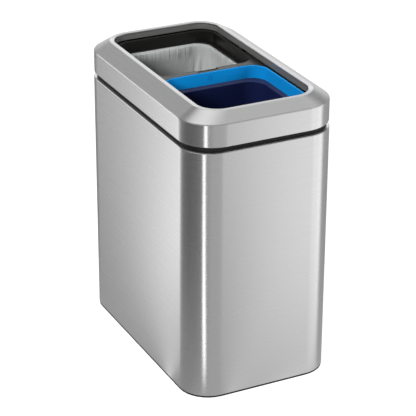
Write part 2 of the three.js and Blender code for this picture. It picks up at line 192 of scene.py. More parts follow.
def add_loop(bm, plan, inset, height):
    """One closed loop of edges: a rectangle moved in by the inset, its corners rounded."""
    middle, half_x, half_y, corner = plan
    corners = [
        bm.verts.new((middle + x * (half_x - inset), y * (half_y - inset), height))
        for x, y in ((-1, -1), (1, -1), (1, 1), (-1, 1))
    ]
    bm.faces.new(corners)
    bmesh.ops.bevel(
        bm, geom=corners, offset=corner - inset, segments=CORNER_STEPS, profile=0.5,
        affect="VERTICES", material=-1,
    )
    bm.faces.ensure_lookup_table()
    face = bm.faces[-1]
    edges = list(face.edges)
    bmesh.ops.delete(bm, geom=[face], context="FACES_ONLY")
    return edges


def add_shell(bm, rings, closed="looped"):
    """A closed skin through loops given as (plan, inset, height, bend). A bend over zero
    rounds that edge off over its distance. A capped skin has a face at each end."""
    loops = [add_loop(bm, plan, inset, height) for plan, inset, height, bend in rings]
    pairs = list(zip(loops, loops[1:]))
    if closed == "looped":
        pairs.append((loops[-1], loops[0]))
    for lower, upper in pairs:  # loops at one height are held apart while they are joined
        held = list({vert for edge in upper for vert in edge.verts})
        bmesh.ops.translate(bm, verts=held, vec=(0, 0, 0.5))
        bmesh.ops.bridge_loops(bm, edges=lower + upper)
        bmesh.ops.translate(bm, verts=held, vec=(0, 0, -0.5))
    if closed == "capped":
        for end in (loops[0], loops[-1]):
            bmesh.ops.edgeloop_fill(bm, edges=end)
    for bend in sorted({ring[3] for ring in rings} - {0}):
        rounded = [edge for loop, ring in zip(loops, rings) if ring[3] == bend for edge in loop]
        bmesh.ops.bevel(
            bm, geom=rounded, offset=bend, segments=BEND_STEPS, profile=0.5,
            affect="EDGES", material=-1,
        )


def finished(bm, name, material, outward=True):
    """Turns a bmesh into an object of the scene, smooth but for its sharp edges."""
    if outward:
        bmesh.ops.recalc_face_normals(bm, faces=bm.faces)
    mesh = bpy.data.meshes.new(name)
    bm.to_mesh(mesh)
    bm.free()
    mesh.materials.append(material)
    mesh.shade_smooth()
    mesh.set_sharp_from_angle(angle=SHARP_EDGE)
    made = bpy.data.objects.new(name, mesh)
    bpy.context.scene.collection.objects.link(made)
    even = made.modifiers.new("flat faces stay flat", "WEIGHTED_NORMAL")
    even.keep_sharp = True
    return made


def brushed_steel(name, core_x, core_y):
    """Brushed stainless steel. Its scratches run round the bin, so its gloss is drawn out
    across them. The core is the rectangle through the centres of the corners."""
    surface = {"Metallic": 1, "Anisotropic": 1}
    material, tree, shader = new_material(name, surface)
    place = add_node(tree, "TexCoord", {}).outputs["Object"]
    low = add_node(
        tree, "VectorMath", {0: place, 1: (-core_x, -core_y, 0)}, operation="MAXIMUM"
    )
    core = add_node(
        tree, "VectorMath", {0: low.outputs[0], 1: (core_x, core_y, 0)}, operation="MINIMUM"
    )
    out = add_node(
        tree, "VectorMath", {0: place, 1: core.outputs[0]}, operation="SUBTRACT"
    )
    flat = add_node(tree, "VectorMath", {0: out.outputs[0], 1: (1, 1, 0)}, operation="MULTIPLY")
    along = add_node(
        tree, "VectorMath", {0: flat.outputs[0], 1: (0, 0, 1)}, operation="CROSS_PRODUCT"
    )
    normal = add_node(tree, "NewGeometry", {}).outputs["Normal"]
    across = add_node(
        tree, "VectorMath", {0: along.outputs[0], 1: normal}, operation="CROSS_PRODUCT"
    )
    tree.links.new(across.outputs[0], shader.inputs["Tangent"])
    reach = add_node(tree, "VectorMath", {0: flat.outputs[0]}, operation="LENGTH")
    parts = add_node(tree, "SeparateXYZ", {0: place})
    depth = add_node(
        tree, "Math", {0: parts.outputs[2], 1: reach.outputs["Value"]}, operation="SUBTRACT"
    )
    stretched = add_node(
        tree, "CombineXYZ", {0: parts.outputs[0], 1: parts.outputs[1], 2: depth.outputs[0]}
    )
    scratches = add_node(
        tree, "VectorMath",
        {0: stretched.outputs[0], 1: (1 / BRUSH_LENGTH, 1 / BRUSH_LENGTH, 1 / BRUSH_LINE)},
        operation="MULTIPLY",
    )
    streaks = add_node(
        tree, "TexNoise", {"Vector": scratches.outputs[0], "Scale": 1.0, "Detail": 4}
    )
    gloss = add_node(
        tree, "MapRange", {0: streaks.outputs[0], 1: 0.3, 2: 0.7, 3: 0.27, 4: 0.3}
    )
    tree.links.new(gloss.outputs[0], shader.inputs["Roughness"])
    base = linear(STEEL)
    dull = tuple(c * 0.975 for c in base[:3]) + (1,)
    bright = tuple(c * 1.025 for c in base[:3]) + (1,)
    tint = add_node(tree, "Mix", {0: streaks.outputs[0], 6: dull, 7: bright}, data_type="RGBA")
    tree.links.new(tint.outputs[2], shader.inputs["Base Color"])
    relief = add_node(
        tree, "Bump", {"Strength": 0.01, "Distance": 0.01 * MM, "Height": streaks.outputs[0]}
    )
    tree.links.new(relief.outputs[0], shader.inputs["Normal"])
    return material


sleeve_plan = plan_of("outer_sleeve", SLEEVE_CORNER)
low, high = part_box("outer_sleeve")
foot_line, head_line = low.z, high.z
# Brushed stainless steel: grey and soft along the scratches, almost a mirror across them.
steel = brushed_steel(
    "brushed_stainless_steel", sleeve_plan[1] - SLEEVE_CORNER, sleeve_plan[2] - SLEEVE_CORNER
)
bm = bmesh.new()
add_shell(bm, [
    (sleeve_plan, 0, foot_line, HEM_BEND),
    (sleeve_plan, 0, head_line, HEM_BEND),
    (sleeve_plan, TOP_HEM, head_line, 0),
    (sleeve_plan, TOP_HEM, head_line - SHEET, 0),
    (sleeve_plan, SHEET, head_line - SHEET, 0),
    (sleeve_plan, SHEET, foot_line + SHEET, 0),
    (sleeve_plan, BOTTOM_HEM, foot_line + SHEET, 0),
    (sleeve_plan, BOTTOM_HEM, foot_line, 0),
])
sleeve = finished(bm, "steel_sleeve", steel)
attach(sleeve, "body")
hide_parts("outer_sleeve")


# Top collar -----------------------------------------------------------------------------
# Black ABS moulding plugged into the top of the sleeve. Its wall is the dark groove under
# the rim, an upstand locates the rim, and a crossbar steadies the two buckets.
RIM_CORNER = 51 * MM
GROOVE_DEPTH = 4.5 * MM
GROOVE_WALL = 2.2 * MM
DECK = 2.5 * MM
COLLAR_SKIRT = 20 * MM
COLLAR_OPENING = (0, 163.2 * MM, 83.6 * MM, 28 * MM)
OPENING_LIP = 10 * MM
UPSTAND = 15.9 * MM
LOCATOR = 9 * MM
WALL = 2 * MM
CROSSBAR = 4.4 * MM
GAP = 0.3 * MM  # clearance where one piece sits in or on another
MOULDED_EDGE = 0.5 * MM

# Matt black ABS: it swallows nearly all the light that gets into the groove.
collar_abs = moulded_plastic(
    "matt_black_abs", "#121111", 0.6, 0.35 * MM, 0.03 * MM, sheen=0.3
)


def add_block(bm, low, high):
    """A box between two corners."""
    size = Vector(high) - Vector(low)
    place = Matrix.Translation((Vector(high) + Vector(low)) / 2) @ Matrix.Diagonal((*size, 1))
    return bmesh.ops.create_cube(bm, size=1, matrix=place)["verts"]


rim_plan = plan_of("rim_shell", RIM_CORNER)
rim_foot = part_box("rim_shell")[0].z
deck_top = head_line + DECK
groove_top = rim_foot - GAP
plug = TOP_HEM + GAP
bm = bmesh.new()
add_shell(bm, [
    (sleeve_plan, GROOVE_DEPTH, head_line, 0),
    (sleeve_plan, GROOVE_DEPTH, groove_top, MOULDED_EDGE),
    (sleeve_plan, GROOVE_DEPTH + GROOVE_WALL, groove_top, MOULDED_EDGE),
    (sleeve_plan, GROOVE_DEPTH + GROOVE_WALL, deck_top, 0),
    (rim_plan, UPSTAND, deck_top, 0),
    (rim_plan, UPSTAND, deck_top + LOCATOR, MOULDED_EDGE),
    (rim_plan, UPSTAND + WALL, deck_top + LOCATOR, MOULDED_EDGE),
    (rim_plan, UPSTAND + WALL, deck_top, 0),
    (COLLAR_OPENING, 0, deck_top, MOULDED_EDGE),
    (COLLAR_OPENING, 0, deck_top - OPENING_LIP, 0),
    (COLLAR_OPENING, -WALL, deck_top - OPENING_LIP, 0),
    (COLLAR_OPENING, -WALL, head_line, 0),
    (sleeve_plan, plug + WALL, head_line, 0),
    (sleeve_plan, plug + WALL, head_line - COLLAR_SKIRT, 0),
    (sleeve_plan, plug, head_line - COLLAR_SKIRT, 0),
    (sleeve_plan, plug, head_line, 0),
])
bar_end = COLLAR_OPENING[2] + WALL / 2
add_block(
    bm, (-CROSSBAR / 2, -bar_end, deck_top - OPENING_LIP), (CROSSBAR / 2, bar_end, deck_top)
)
collar = finished(bm, "black_collar", collar_abs)
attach(collar, "body")
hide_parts("top_collar")


# Buckets --------------------------------------------------------------------------------
# Two polypropylene buckets with drafted walls, a sloping ledge inside the ring and a
# turned-down rim. The one for recycling is navy, and the one for rubbish is black.
RING_CORNER = 26 * MM
MOUTH_INSET = 8.2 * MM  # from the ring's outer face to the bucket's mouth
MOUTH_CORNER = 24.5 * MM
BASE_HALF = (65 * MM, 68.5 * MM)
BASE_CORNER = 16 * MM
BUCKET_RIM = 2.2 * MM
RING_WALL = 2.6 * MM
LEDGE = 399.1 * MM
RIM_TURNDOWN = 10 * MM
BUCKET_BEND = 3 * MM

PP_NAVY = "#111738"

# Navy polypropylene with a matt etched grain.
navy_polypropylene = moulded_plastic(
    "moulded_navy_polypropylene", PP_NAVY, 0.45, PP_GRAIN, 0.03 * MM
)


def mouth_of(ring_plan):
    """The plan of a bucket's mouth, inside its ring."""
    middle, half_x, half_y, corner = ring_plan
    return middle, half_x - MOUTH_INSET, half_y - MOUTH_INSET, MOUTH_CORNER


def make_bucket(node, ring_plan, material):
    """A bucket, from the box of its node and the plan of the ring that sits on it."""
    mouth = mouth_of(ring_plan)
    base_plan = (ring_plan[0], *BASE_HALF, BASE_CORNER)
    low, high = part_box(node)
    under = LEDGE - BUCKET_BEND
    bm = bmesh.new()
    add_shell(bm, [
        (base_plan, 0, low.z, BUCKET_BEND),
        (mouth, -WALL, under, 0),
        (ring_plan, BUCKET_RIM + WALL, under + WALL / 2, 0),
        (ring_plan, BUCKET_RIM + WALL, high.z - RIM_TURNDOWN, 0),
        (ring_plan, BUCKET_RIM, high.z - RIM_TURNDOWN, 0),
        (ring_plan, BUCKET_RIM, high.z, MOULDED_EDGE),
        (ring_plan, RING_WALL + GAP, high.z, 0),
        (mouth, 0, LEDGE, MOULDED_EDGE),
        (base_plan, WALL, low.z + WALL, BUCKET_BEND),
    ], closed="capped")
    bucket = finished(bm, node + "_shell", material)
    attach(bucket, node)
    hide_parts(node)
    return bucket


ring_plan = plan_of("recycling_ring", RING_CORNER)
rubbish_plan = (-ring_plan[0], *ring_plan[1:])
recycling_bucket = make_bucket("recycling_bucket", ring_plan, navy_polypropylene)
rubbish_bucket = make_bucket("rubbish_bucket", rubbish_plan, black_polypropylene)


# Bin bag --------------------------------------------------------------------------------
# A bag of thin pale grey polythene that lines the rubbish bucket. Its cuff folds over the
# bucket's rim, where the ring holds it, so its mouth is gathered into small pleats.
FILM = "#a4a7a6"
FILM_THICKNESS = 0.25 * MM
FILM_STEPS = 720  # round the mouth
CUFF = 10 * MM
BAG_BASE = (61.2 * MM, 64.7 * MM, 14 * MM)
PLEAT_REACH = 17 * MM  # how far down the wall the pleats of the mouth run
FOLDS = 15
CORNERS = (0.207, 0.464, 0.707, 0.964)  # the corners, as shares of the way round
LOOSE_SIDE = 5 * MM  # the film sags in on the side towards +Y
PLEAT_DEPTH = 1.1 * MM
FINE_PLEAT_DEPTH = 0.6 * MM
CRUMPLE_DEPTH = 1.6 * MM
CREASE_DEPTH = 7 * MM

mouth = mouth_of(rubbish_plan)
bag_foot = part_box("bin_bag")[0].z + FILM_THICKNESS
cuff_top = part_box("rubbish_bucket")[1].z + 0.6 * MM


def inset_plan(plan, inset):
    """Half length, half width and corner of a plan that is moved in."""
    return plan[1] - inset, plan[2] - inset, plan[3] - inset


# The film from the foot of its cuff, over the bucket's rim, across the ledge and down.
FILM_PATH = [  # plan, height, and how many steps lead to it
    (inset_plan(rubbish_plan, 1.75 * MM), cuff_top - CUFF, 0),
    (inset_plan(rubbish_plan, 1.75 * MM), cuff_top - 0.5 * MM, 4),
    (inset_plan(rubbish_plan, 2.2 * MM), cuff_top, 2),
    (inset_plan(rubbish_plan, 3.6 * MM), cuff_top, 3),
    (inset_plan(mouth, 0.8 * MM), LEDGE + 0.5 * MM, 7),
    (inset_plan(mouth, 1.5 * MM), LEDGE - 3 * MM, 4),
]
WALL_STEPS = (34, 26)  # down the part that shows, and down the rest
SHOWN = 110 * MM  # the part of the wall that shows


def on_plan(share, half_x, half_y, corner):
    """The point a share of the way round a rounded rectangle, and its outward direction."""
    straight_x = 2 * (half_x - corner)
    straight_y = 2 * (half_y - corner)
    arc = corner * math.pi / 2
    walk = (share % 1) * 2 * (straight_x + straight_y + 2 * arc)
    angle = -math.pi / 2
    for straight, sx, sy in (
        (straight_x, 1, -1), (straight_y, 1, 1), (straight_x, -1, 1), (straight_y, -1, -1),
    ):
        out = Vector((math.cos(angle), math.sin(angle)))
        ahead = Vector((-out.y, out.x))
        centre = Vector((sx * (half_x - corner), sy * (half_y - corner)))
        if walk <= straight:
            return centre + out * corner + ahead * (walk - straight), out
        walk -= straight
        if walk <= arc:
            bend = angle + walk / corner
            out = Vector((math.cos(bend), math.sin(bend)))
            return centre + out * corner, out
        walk -= arc
        angle += math.pi / 2
    return centre + out * corner, out


def ease(low, high, value):
    """Rises smoothly from 0 at low to 1 at high."""
    t = min(max((value - low) / (high - low), 0), 1)
    return t * t * (3 - 2 * t)


def between(first, last, share):
    """A point between two plans."""
    return tuple(a + (b - a) * share for a, b in zip(first, last))


# Each row of the film: its plan, its height, how far over the ledge it is (0 to 1) and how
# far down the wall.
rows = []
for (plan_a, z_a, _), (plan_b, z_b, steps) in zip(FILM_PATH, FILM_PATH[1:]):
    for step in range(steps):
        share = step / steps
        over = ease(cuff_top, LEDGE, z_a + (z_b - z_a) * share) if z_b < z_a else 0
        rows.append((between(plan_a, plan_b, share), z_a + (z_b - z_a) * share, over, 0))
wall_top = FILM_PATH[-1]
wall_length = wall_top[1] - bag_foot
downs = [SHOWN * i / WALL_STEPS[0] for i in range(WALL_STEPS[0])]
rest = wall_length - SHOWN
downs += [SHOWN + rest * i / WALL_STEPS[1] for i in range(WALL_STEPS[1] + 1)]
for down in downs:
    plan = between(wall_top[0], BAG_BASE, down / wall_length)
    rows.append((plan, wall_top[1] - down, 1, down))

# Loose folds run down the walls, most of them at the corners, where the film has to spare.
chance = random.Random(11)
folds = []
for i in range(FOLDS):
    corner_at = CORNERS[i % 4] if i < 12 else 0.13 + 0.25 * (i - 12)
    folds.append((
        corner_at + chance.uniform(-0.035, 0.035),  # where on the way round
        chance.uniform(-0.45, 0.45) / 1000 / MM,  # its drift as it goes down
        chance.uniform(0.006, 0.014),  # its width
        chance.uniform(2.0, 4.5) * MM,  # how far it stands in
    ))


def film_point(share, plan, z, over, down):
    """A point of the film: the share of the way round, and a row."""
    spot, out = on_plan(share, *plan)
    around = share * math.tau
    circle = Vector((math.cos(around), math.sin(around), 0))
    pleat = noise.noise(circle * 24 + Vector((0, 0, 1.5 + down * 8)))
    fine = noise.noise(circle * 58 + Vector((0, 0, 7.5 + down * 12)))
    held = over * (1 - ease(0.1 * PLEAT_REACH, PLEAT_REACH, down))
    inset = held * (PLEAT_DEPTH * (pleat + 0.35) + FINE_PLEAT_DEPTH * (fine + 0.3))
    crumple = noise.noise(Vector((spot.x / (30 * MM), spot.y / (30 * MM), z / (45 * MM))))
    crossing = Vector((circle.x * 11 + z / (60 * MM), circle.y * 11, z / (70 * MM)))
    creases = abs(noise.noise(crossing))
    to_corner = min(abs((share - corner + 0.5) % 1 - 0.5) for corner in CORNERS)
    gathered = max(0.12, 1 - to_corner / 0.07)
    slack = ease(0, 0.04, down)
    inset += slack * (
        CRUMPLE_DEPTH * (crumple + 0.5) + CREASE_DEPTH * gathered * (0.3 - min(creases, 0.3))
    )
    inset += LOOSE_SIDE * max(out.y, 0) ** 2 * ease(0, 0.05, down)
    for at_share, drift, width, stand in folds:
        away = (share - at_share - drift * down + 0.5) % 1 - 0.5
        inset += stand * math.exp(-(away / width) ** 2) * ease(0.004, 0.06, down)
    inset *= 1 - ease(0.8, 1, down / wall_length) * 0.6
    point = spot - out * max(inset, 0)
    lift = over * (1 - ease(0, 6 * MM, down)) * 0.8 * MM * (pleat + fine)
    return (mouth[0] + point.x, point.y, min(z + lift, max(z, cuff_top)))


bm = bmesh.new()
bmesh.ops.create_circle(bm, segments=FILM_STEPS, radius=1)
edges = list(bm.edges)
levels = [list(bm.verts)]
for row in rows[1:]:
    made = bmesh.ops.extrude_edge_only(bm, edges=edges)["geom"]
    levels.append([part for part in made if isinstance(part, bmesh.types.BMVert)])
    fresh = set(levels[-1])
    edges = [
        part for part in made if isinstance(part, bmesh.types.BMEdge) and fresh >= set(part.verts)
    ]
bmesh.ops.edgeloop_fill(bm, edges=edges)
for row, verts in zip(rows, levels):
    ordered = sorted(verts, key=lambda vert: math.atan2(vert.co.y, vert.co.x))
    for i, vert in enumerate(ordered):
        vert.co = film_point(i / FILM_STEPS, *row)
bmesh.ops.recalc_face_normals(bm, faces=bm.faces)

# Low-density polythene film: milky and a little glossy, and the dark bucket shows through
# it where it lies flat. Finer wrinkles than the mesh holds are in its relief.
polythene, tree, shader = new_material(
    "polythene_film", {"Metallic": 0, "IOR": 1.5, "Transmission Weight": 0.1}
)
place = add_node(tree, "TexCoord", {}).outputs["Object"]
drawn = add_node(tree, "VectorMath", {0: place, 1: (1, 1, 0.22)}, operation="MULTIPLY")
wrinkle = add_node(
    tree, "TexNoise",
    {"Vector": drawn.outputs[0], "Scale": 1 / (5 * MM), "Detail": 4, "Distortion": 0.6},
)
cloud = add_node(tree, "TexNoise", {"Vector": place, "Scale": 1 / (22 * MM), "Detail": 2})
milky = linear(FILM)
thin = tuple(c * 0.82 for c in milky[:3]) + (1,)
tint = add_node(tree, "Mix", {0: cloud.outputs[0], 6: thin, 7: milky}, data_type="RGBA")
tree.links.new(tint.outputs[2], shader.inputs["Base Color"])
gloss = add_node(tree, "MapRange", {0: wrinkle.outputs[0], 1: 0.3, 2: 0.7, 3: 0.28, 4: 0.42})
tree.links.new(gloss.outputs[0], shader.inputs["Roughness"])
relief = add_node(
    tree, "Bump", {"Strength": 0.6, "Distance": 0.4 * MM, "Height": wrinkle.outputs[0]}
)
tree.links.new(relief.outputs[0], shader.inputs["Normal"])

bag = finished(bm, "bag_film", polythene, outward=False)
bag.modifiers.clear()
thick = bag.modifiers.new("film", "SOLIDIFY")
thick.thickness = FILM_THICKNESS
thick.offset = 0
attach(bag, "rubbish_bucket")
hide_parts("bin_bag")


# Rings ----------------------------------------------------------------------------------
# A ring of satin ABS sits on each bucket's rim: bright blue for recycling, and black for
# rubbish. The black one also carries the bar between the two openings, with a notch that
# lets a finger under it, and it holds the bag's cuff against the bucket.
RING_FOOT = 402 * MM
RING_SKIRT = 1.2 * MM
RING_EDGE = 1.1 * MM
BAR_EDGE = 4.4 * MM
BAR_THICKNESS = 4 * MM
BAR_REACH = 22 * MM
BAR_INSET = 0.05 * MM  # keeps the bar's faces just inside the ring's
SHELF_HALF = (74.5 * MM, 73.2 * MM)
SHELF_CORNER = 23 * MM
SHELF_THICKNESS = 1.2 * MM
NOTCH_HALF = 16.5 * MM
NOTCH_EDGE = 1.5 * MM
NOTCH_DIP = 1.5 * MM
CUT_FROM, CUT_TO = 0.3, 0.5  # heights in metres that a cutter spans, well past the ring
NOTCH_CUT_TOP = 0.45

ABS_BLUE = "#0a78ba"
ABS_BLACK = "#0e0d0c"

# Black ABS with a fine satin grain: a clear but soft grey sheen.
black_abs = moulded_plastic("satin_black_abs", ABS_BLACK, 0.36, 0.35 * MM, 0.02 * MM)
# Blue ABS with a satin grain: its edges catch the light as a paler line.
blue_abs = moulded_plastic("satin_blue_abs", ABS_BLUE, 0.4, 0.35 * MM, 0.02 * MM, 0.05)


def ring_loops(plan, low, high, foot):
    """The loops of a ring: a rounded top edge, the wall seen inside the mouth down to its
    foot, and a thin skirt outside the bucket's rim."""
    return [
        (plan, 0, low, 0),
        (plan, 0, high, RING_EDGE),
        (plan, RING_WALL * 0.85, high, RING_EDGE),
        *foot,
        (plan, RING_SKIRT, RING_FOOT, 0),
        (plan, RING_SKIRT, low, 0),
    ]


def cut(target, tool, operation):
    """Cuts or joins one mesh with another, and removes the tool."""
    target.modifiers.clear()
    step = target.modifiers.new("cut", "BOOLEAN")
    step.operation = operation
    step.solver = "EXACT"
    step.object = tool
    bpy.context.view_layer.update()
    ready = bpy.data.meshes.new_from_object(
        target.evaluated_get(bpy.context.evaluated_depsgraph_get())
    )
    target.modifiers.clear()
    target.data = ready
    bpy.data.objects.remove(tool)


low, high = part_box("recycling_ring")
bm = bmesh.new()
add_shell(bm, ring_loops(ring_plan, low.z, high.z, [(ring_plan, RING_WALL, RING_FOOT, 0)]))
blue_ring = finished(bm, "blue_ring", blue_abs)
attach(blue_ring, "recycling_ring")
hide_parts("recycling_ring")

# The bar's outline follows the recycling ring beside it, and stops at its own ring's wall.
half_y = rubbish_plan[2] - BAR_INSET
bar_top = high.z - BAR_INSET
bm = bmesh.new()
add_block(bm, (-BAR_REACH, -half_y, high.z - BAR_THICKNESS), (BAR_REACH, half_y, bar_top))
bar = finished(bm, "divider_bar", black_abs)
clear = ring_plan[0] - ring_plan[1] - BAR_EDGE
bm = bmesh.new()
add_shell(
    bm, [(ring_plan, -clear, CUT_FROM, 0), (ring_plan, -clear, CUT_TO, 0)], closed="capped"
)
cut(bar, finished(bm, "cutter", black_abs), "DIFFERENCE")
bm = bmesh.new()
inner = RING_WALL * 0.5
add_shell(
    bm, [(rubbish_plan, inner, CUT_FROM, 0), (rubbish_plan, inner, CUT_TO, 0)], closed="capped"
)
cut(bar, finished(bm, "cutter", black_abs), "DIFFERENCE")

bm = bmesh.new()
shelf = (rubbish_plan[0], *SHELF_HALF, SHELF_CORNER)
shelf_top = RING_FOOT + SHELF_THICKNESS
add_shell(bm, ring_loops(rubbish_plan, low.z, high.z, [
    (rubbish_plan, RING_WALL, shelf_top, 0),
    (shelf, 0, shelf_top, MOULDED_EDGE),
    (shelf, 0, RING_FOOT, 0),
]))
black_ring = finished(bm, "black_ring", black_abs)
cut(black_ring, bar, "UNION")
wall = rubbish_plan[0] + rubbish_plan[1]
bm = bmesh.new()
add_block(
    bm, (wall, -NOTCH_HALF, high.z - BAR_THICKNESS - 1 * MM),
    (NOTCH_EDGE, NOTCH_HALF, NOTCH_CUT_TOP),
)
cut(black_ring, finished(bm, "cutter", black_abs), "DIFFERENCE")
bm = bmesh.new()
add_block(
    bm, (-BAR_REACH, -NOTCH_HALF, high.z - NOTCH_DIP),
    (wall + RING_EDGE, NOTCH_HALF, NOTCH_CUT_TOP),
)
cut(black_ring, finished(bm, "cutter", black_abs), "DIFFERENCE")
black_ring.data.shade_smooth()
black_ring.data.set_sharp_from_angle(angle=SHARP_EDGE)
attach(black_ring, "rubbish_ring")
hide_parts("rubbish_ring")


# Recycling sign -------------------------------------------------------------------------
# Three arrows that chase each other, raised a hair on the blue ring's wall beside the bar,
# in a slightly deeper blue.
SIGN_PLACE = (7.35 * MM, -0.6 * MM, 411.9 * MM)
SIGN_RADIUS = 3.1 * MM
SIGN_LINE = 0.9 * MM
SIGN_RISE = 0.3 * MM
ARROW_SWEEP = math.radians(72)
ARROW_HEAD = 1.35 * MM
SIGN_BLUE = "#0a5c9c"

# The same blue ABS, textured finer, so it looks a shade deeper.
sign_abs = moulded_plastic("etched_blue_abs", SIGN_BLUE, 0.5, 0.2 * MM, 0.02 * MM, 0.05)

bm = bmesh.new()
for third in range(3):
    turn = Matrix.Rotation(third * math.tau / 3, 4, "Z")
    half = SIGN_LINE / 2
    made = bmesh.ops.create_grid(
        bm, x_segments=1, y_segments=1, size=1,
        matrix=turn @ Matrix.Translation((SIGN_RADIUS, 0, 0))
        @ Matrix.Rotation(math.pi / 2, 4, "X") @ Matrix.Diagonal((half, SIGN_RISE / 2, 1, 1)),
    )["verts"]
    profile = list({part for vert in made for part in (vert, *vert.link_edges, *vert.link_faces)})
    bmesh.ops.spin(
        bm, geom=profile, cent=(0, 0, 0), axis=(0, 0, 1), angle=ARROW_SWEEP, steps=10,
    )
    head = turn @ Matrix.Rotation(ARROW_SWEEP + math.radians(9), 4, "Z")
    bmesh.ops.create_cone(
        bm, cap_ends=True, segments=3, radius1=ARROW_HEAD, radius2=ARROW_HEAD, depth=SIGN_RISE,
        matrix=head @ Matrix.Translation((SIGN_RADIUS, 0, 0)),
    )
stand = Matrix.Translation(SIGN_PLACE) @ Matrix(
    ((0, 0, 1, 0), (1, 0, 0, 0), (0, 1, 0, 0), (0, 0, 0, 1))
)
bmesh.ops.transform(bm, matrix=stand, verts=bm.verts)
sign = finished(bm, "recycling_sign", sign_abs)
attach(sign, "recycling_ring")


# Rim lining -----------------------------------------------------------------------------
# A grey satin ABS moulding inside the rim: the upright wall seen below the steel's inner
# edge, a cap that backs the slope, and an outer wall that stands on the rim's flange.
MOUTH = (0, 163.5 * MM, 84 * MM, 31 * MM)
LIP = 7.5 * MM
LIP_DROP = 1.6 * MM
CREVICE = 0.6 * MM
LINING_FOOT = 422 * MM
CREASE = 419.2 * MM
CREASE_BEND = 1.4 * MM

BOSS_RADIUS = 3.4 * MM  # of the six screw bosses under the cap
BOSS_HOLE = 1.75 * MM
BOSS_TOP = 422.3 * MM
BOSS_STEPS = 32

ABS_GREY = "#565655"

# Grey ABS, more polished than the black: it mirrors the studio as soft upright bands.
grey_abs = moulded_plastic("satin_grey_abs", ABS_GREY, 0.36, 0.3 * MM, 0.01 * MM)

rim_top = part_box("rim_shell")[1].z
lining_top = rim_top - LIP_DROP - CREVICE
backing = SHEET + CREVICE
stand = rim_foot + SHEET + GAP
bm = bmesh.new()
add_shell(bm, [
    (rim_plan, backing, stand, 0),
    (rim_plan, backing, CREASE - 0.5 * MM, CREASE_BEND),
    (MOUTH, WALL - LIP, lining_top, 0),
    (MOUTH, 0, lining_top, 0),
    (MOUTH, 0, LINING_FOOT, CREVICE),
    (MOUTH, -WALL, LINING_FOOT, 0),
    (MOUTH, -WALL, lining_top - WALL, 0),
    (MOUTH, 1.5 * WALL - LIP, lining_top - WALL, 0),
    (rim_plan, backing + WALL, CREASE - 1.5 * MM, CREASE_BEND * 0.6),
    (rim_plan, backing + WALL, stand, 0),
])
for name in sorted(nodes):
    if name.startswith("rim_screw_"):
        low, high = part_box(name)
        centre = Vector(((low.x + high.x) / 2, (low.y + high.y) / 2, 0))
        wall = bmesh.ops.create_grid(
            bm, x_segments=1, y_segments=1, size=0.5,
            matrix=Matrix.Translation(
                centre + Vector(((BOSS_RADIUS + BOSS_HOLE) / 2, 0, (BOSS_TOP + stand) / 2))
            ) @ Matrix.Rotation(math.pi / 2, 4, "X")
            @ Matrix.Diagonal((BOSS_RADIUS - BOSS_HOLE, BOSS_TOP - stand, 1, 1)),
        )["verts"]
        section = {part for vert in wall for part in (vert, *vert.link_edges)}
        bmesh.ops.delete(bm, geom=list(wall[0].link_faces), context="FACES_ONLY")
        bmesh.ops.spin(
            bm, geom=list(section), cent=centre, axis=(0, 0, 1), angle=math.tau,
            steps=BOSS_STEPS, use_merge=True,
        )
lining = finished(bm, "grey_lining", grey_abs)
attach(lining, "rim")
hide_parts("rim_lining")


# Steel rim ------------------------------------------------------------------------------
# Stainless sheet pressed into a ring: an upright band, a rounded crease, a slope, and a
# flat bead round the mouth whose edge turns down. Its lower flange takes six screws.
RIM_FLANGE = 15.6 * MM
BEAD_BEND = 0.8 * MM

bm = bmesh.new()
add_shell(bm, [
    (rim_plan, 0, rim_foot, HEM_BEND),
    (rim_plan, 0, CREASE, CREASE_BEND),
    (MOUTH, -LIP, rim_top - SHEET / 2, 0.9 * BEAD_BEND),
    (MOUTH, SHEET - LIP, rim_top, 0),
    (MOUTH, 0, rim_top, BEAD_BEND),
    (MOUTH, 0, rim_top - LIP_DROP, 0),
    (MOUTH, -SHEET, rim_top - LIP_DROP, 0),
    (MOUTH, -SHEET, rim_top - SHEET, 0),
    (MOUTH, SHEET - LIP, rim_top - SHEET, 0),
    (rim_plan, SHEET, CREASE - 0.6 * MM, 0.9 * CREASE_BEND),
    (rim_plan, SHEET, rim_foot + SHEET, 0),
    (rim_plan, RIM_FLANGE, rim_foot + SHEET, 0),
    (rim_plan, RIM_FLANGE, rim_foot, 0),
])
rim = finished(bm, "steel_rim", steel)
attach(rim, "rim")
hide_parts("rim_shell")


# Studio ---------------------------------------------------------------------------------
# A white floor and a white surround, with soft lamps above, and grey cards and soft patches
# of sky that only show as painted reflections in the steel and the gloss of the plastics.
FLOOR_SIZE = 12.0
FLOOR_GLOW = 1.3
FLOOR_SHARE = 0.7  # of the floor that glows to the camera. The rest is matt and takes shadow.

floor_material = bpy.data.materials.new("white_floor")
floor_material.use_nodes = True
tree = floor_material.node_tree
tree.nodes.clear()
paths = add_node(tree, "LightPath", {})
matt = add_node(tree, "BsdfDiffuse", {"Color": (0.9, 0.9, 0.9, 1)})
white = add_node(tree, "Emission", {"Color": (1, 1, 1, 1), "Strength": FLOOR_GLOW})
seen = add_node(
    tree, "Math",
    {0: paths.outputs["Is Camera Ray"], 1: paths.outputs["Is Glossy Ray"]}, operation="ADD",
)
seen = add_node(
    tree, "Math",
    {0: seen.outputs[0], 1: paths.outputs["Is Transmission Ray"]}, operation="ADD",
)
share = add_node(tree, "Math", {0: seen.outputs[0], 1: FLOOR_SHARE}, operation="MULTIPLY")
mixed = add_node(
    tree, "MixShader", {0: share.outputs[0], 1: matt.outputs[0], 2: white.outputs[0]}
)
add_node(tree, "OutputMaterial", {"Surface": mixed.outputs[0]})

bm = bmesh.new()
bmesh.ops.create_grid(bm, x_segments=1, y_segments=1, size=FLOOR_SIZE / 2)
floor = finished(bm, "floor", floor_material)
